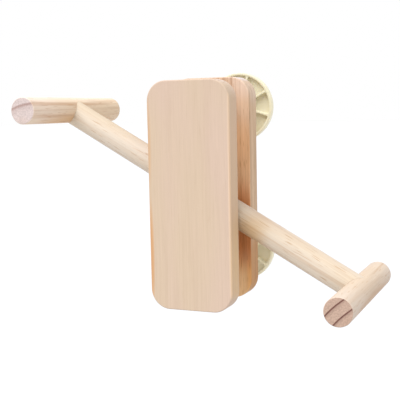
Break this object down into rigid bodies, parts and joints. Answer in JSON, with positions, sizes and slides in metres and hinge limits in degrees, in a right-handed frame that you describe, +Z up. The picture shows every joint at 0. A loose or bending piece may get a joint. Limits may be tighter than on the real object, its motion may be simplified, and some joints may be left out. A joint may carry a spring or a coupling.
{
  "type": "seesaw",
  "caption": "Cage seesaw perch: a dowel beam with cross perches rocks on a pin between rounded wooden boards that ribbed washers and wing nuts clamp to cage wires.",
  "frame": {"origin": "on the plane that the cage's wires rest on, midway between the two hanger bolts", "axes": "+Z up along the boards, +Y from the boards towards the cage, +X to the right as a viewer in front sees it"},
  "size_m": [0.197, 0.1378, 0.1375],
  "materials": {
    "board_wood": "sanded, unvarnished pine with fine upright grain",
    "spacer_wood": "sawn pine",
    "dowel_wood": "sanded, unvarnished pine dowel",
    "peg_wood": "beech dowel pin",
    "nylon": "natural nylon",
    "ivory_plastic": "moulded, soft gloss",
    "bright_steel": "ground",
    "zinc_steel": "bright zinc plate"
  },
  "bodies": {
    "frame": {"front_board": "board_wood", "back_board": "board_wood", "upper_spacer": "spacer_wood", "lower_spacer": "spacer_wood", "upper_outer_screw": "zinc_steel", "upper_inner_screw": "zinc_steel", "lower_inner_screw": "zinc_steel", "lower_outer_screw": "zinc_steel", "pivot_pin": "bright_steel", "front_thrust_washer": "nylon", "back_thrust_washer": "nylon", "upper_hanger_bolt": "zinc_steel", "lower_hanger_bolt": "zinc_steel", "upper_stop_nut": "zinc_steel", "lower_stop_nut": "zinc_steel", "upper_stop_washer": "zinc_steel", "lower_stop_washer": "zinc_steel"},
    "seesaw": {"beam": "dowel_wood", "left_perch": "dowel_wood", "right_perch": "dowel_wood", "left_peg": "peg_wood", "right_peg": "peg_wood"},
    "upper_clamp": {"upper_ribbed_washer": "ivory_plastic"},
    "upper_nut": {"upper_wing_nut": "zinc_steel"},
    "lower_clamp": {"lower_ribbed_washer": "ivory_plastic"},
    "lower_nut": {"lower_wing_nut": "zinc_steel"}
  },
  "joints": [
    {"name": "seesaw_rock", "type": "hinge", "parent": "frame", "child": "seesaw", "pos_m": [0, -0.05705, -0.00485], "axis": [0, 1, 0], "range_deg": [-59, 0]},
    {"name": "upper_washer_slide", "type": "slide", "parent": "frame", "child": "upper_clamp", "axis": [0, 1, 0], "range_m": [-0.00275, 0.007]},
    {"name": "upper_nut_spin", "type": "hinge", "parent": "upper_clamp", "child": "upper_nut", "pos_m": [0, 0.0081, 0.04575], "axis": [0, 1, 0], "range_deg": [-990, 2520]},
    {"name": "lower_washer_slide", "type": "slide", "parent": "frame", "child": "lower_clamp", "axis": [0, 1, 0], "range_m": [-0.00275, 0.007]},
    {"name": "lower_nut_spin", "type": "hinge", "parent": "lower_clamp", "child": "lower_nut", "pos_m": [0, 0.0081, -0.04575], "axis": [0, 1, 0], "range_deg": [-990, 2520]}
  ],
  "couplings": [
    {"joint": "upper_nut_spin", "follows": "upper_washer_slide", "rad_per_m": 6283.2},
    {"joint": "lower_nut_spin", "follows": "lower_washer_slide", "rad_per_m": 6283.2}
  ]
}
